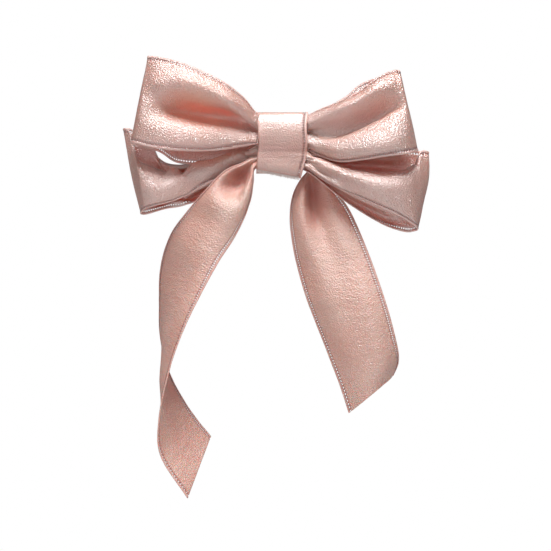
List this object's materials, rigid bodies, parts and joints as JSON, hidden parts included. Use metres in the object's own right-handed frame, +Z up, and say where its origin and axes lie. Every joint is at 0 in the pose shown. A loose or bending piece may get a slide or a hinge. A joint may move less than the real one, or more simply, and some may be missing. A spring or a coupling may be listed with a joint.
{
  "type": "ribbon bow alligator hair clip",
  "caption": "Satin ribbon hair bow with paired loops, hanging tails and a wrapped knot, mounted on a sprung metal alligator clip whose jaws open to grip hair.",
  "frame": {"origin": "on the closing plane of the jaws, behind the middle of the knot", "axes": "+X along the clip and across the bow, from the jaws' tips to the levers; +Y towards the head; +Z up, against the hang of the tails"},
  "size_m": [0.1384, 0.0445, 0.1935],
  "materials": {
    "bow_satin": "dusty pink satin ribbon with ladder selvedge",
    "band_satin": "dusty pink satin ribbon with ladder selvedge",
    "thread": "matt cotton thread",
    "glue": "cloudy hot-melt glue",
    "lining_ribbon": "narrow satin ribbon",
    "clip_metal": "nickel-plated sheet steel",
    "pin_metal": "plated steel",
    "spring_steel": "drawn spring wire"
  },
  "bodies": {
    "bow": {"upper_left_loop": "bow_satin", "lower_left_loop": "bow_satin", "upper_right_loop": "bow_satin", "lower_right_loop": "bow_satin", "tail_left": "bow_satin", "tail_right": "bow_satin", "knot_band": "band_satin", "gather_thread": "thread", "glue_pad": "glue", "jaw_lining": "lining_ribbon", "clip_top_jaw": "clip_metal", "clip_pivot_pin": "pin_metal", "clip_spring": "spring_steel"},
    "lower_jaw": {"clip_bottom_jaw": "clip_metal"}
  },
  "joints": [
    {"name": "jaw_hinge", "type": "hinge", "parent": "bow", "child": "lower_jaw", "pos_m": [0.015, -0.0002, 0], "axis": [0, 0, -1], "range_deg": [0, 35], "stiffness_Nm_per_rad": 0.1, "springref_deg": -34.38, "deforming": ["clip_spring"]}
  ]
}
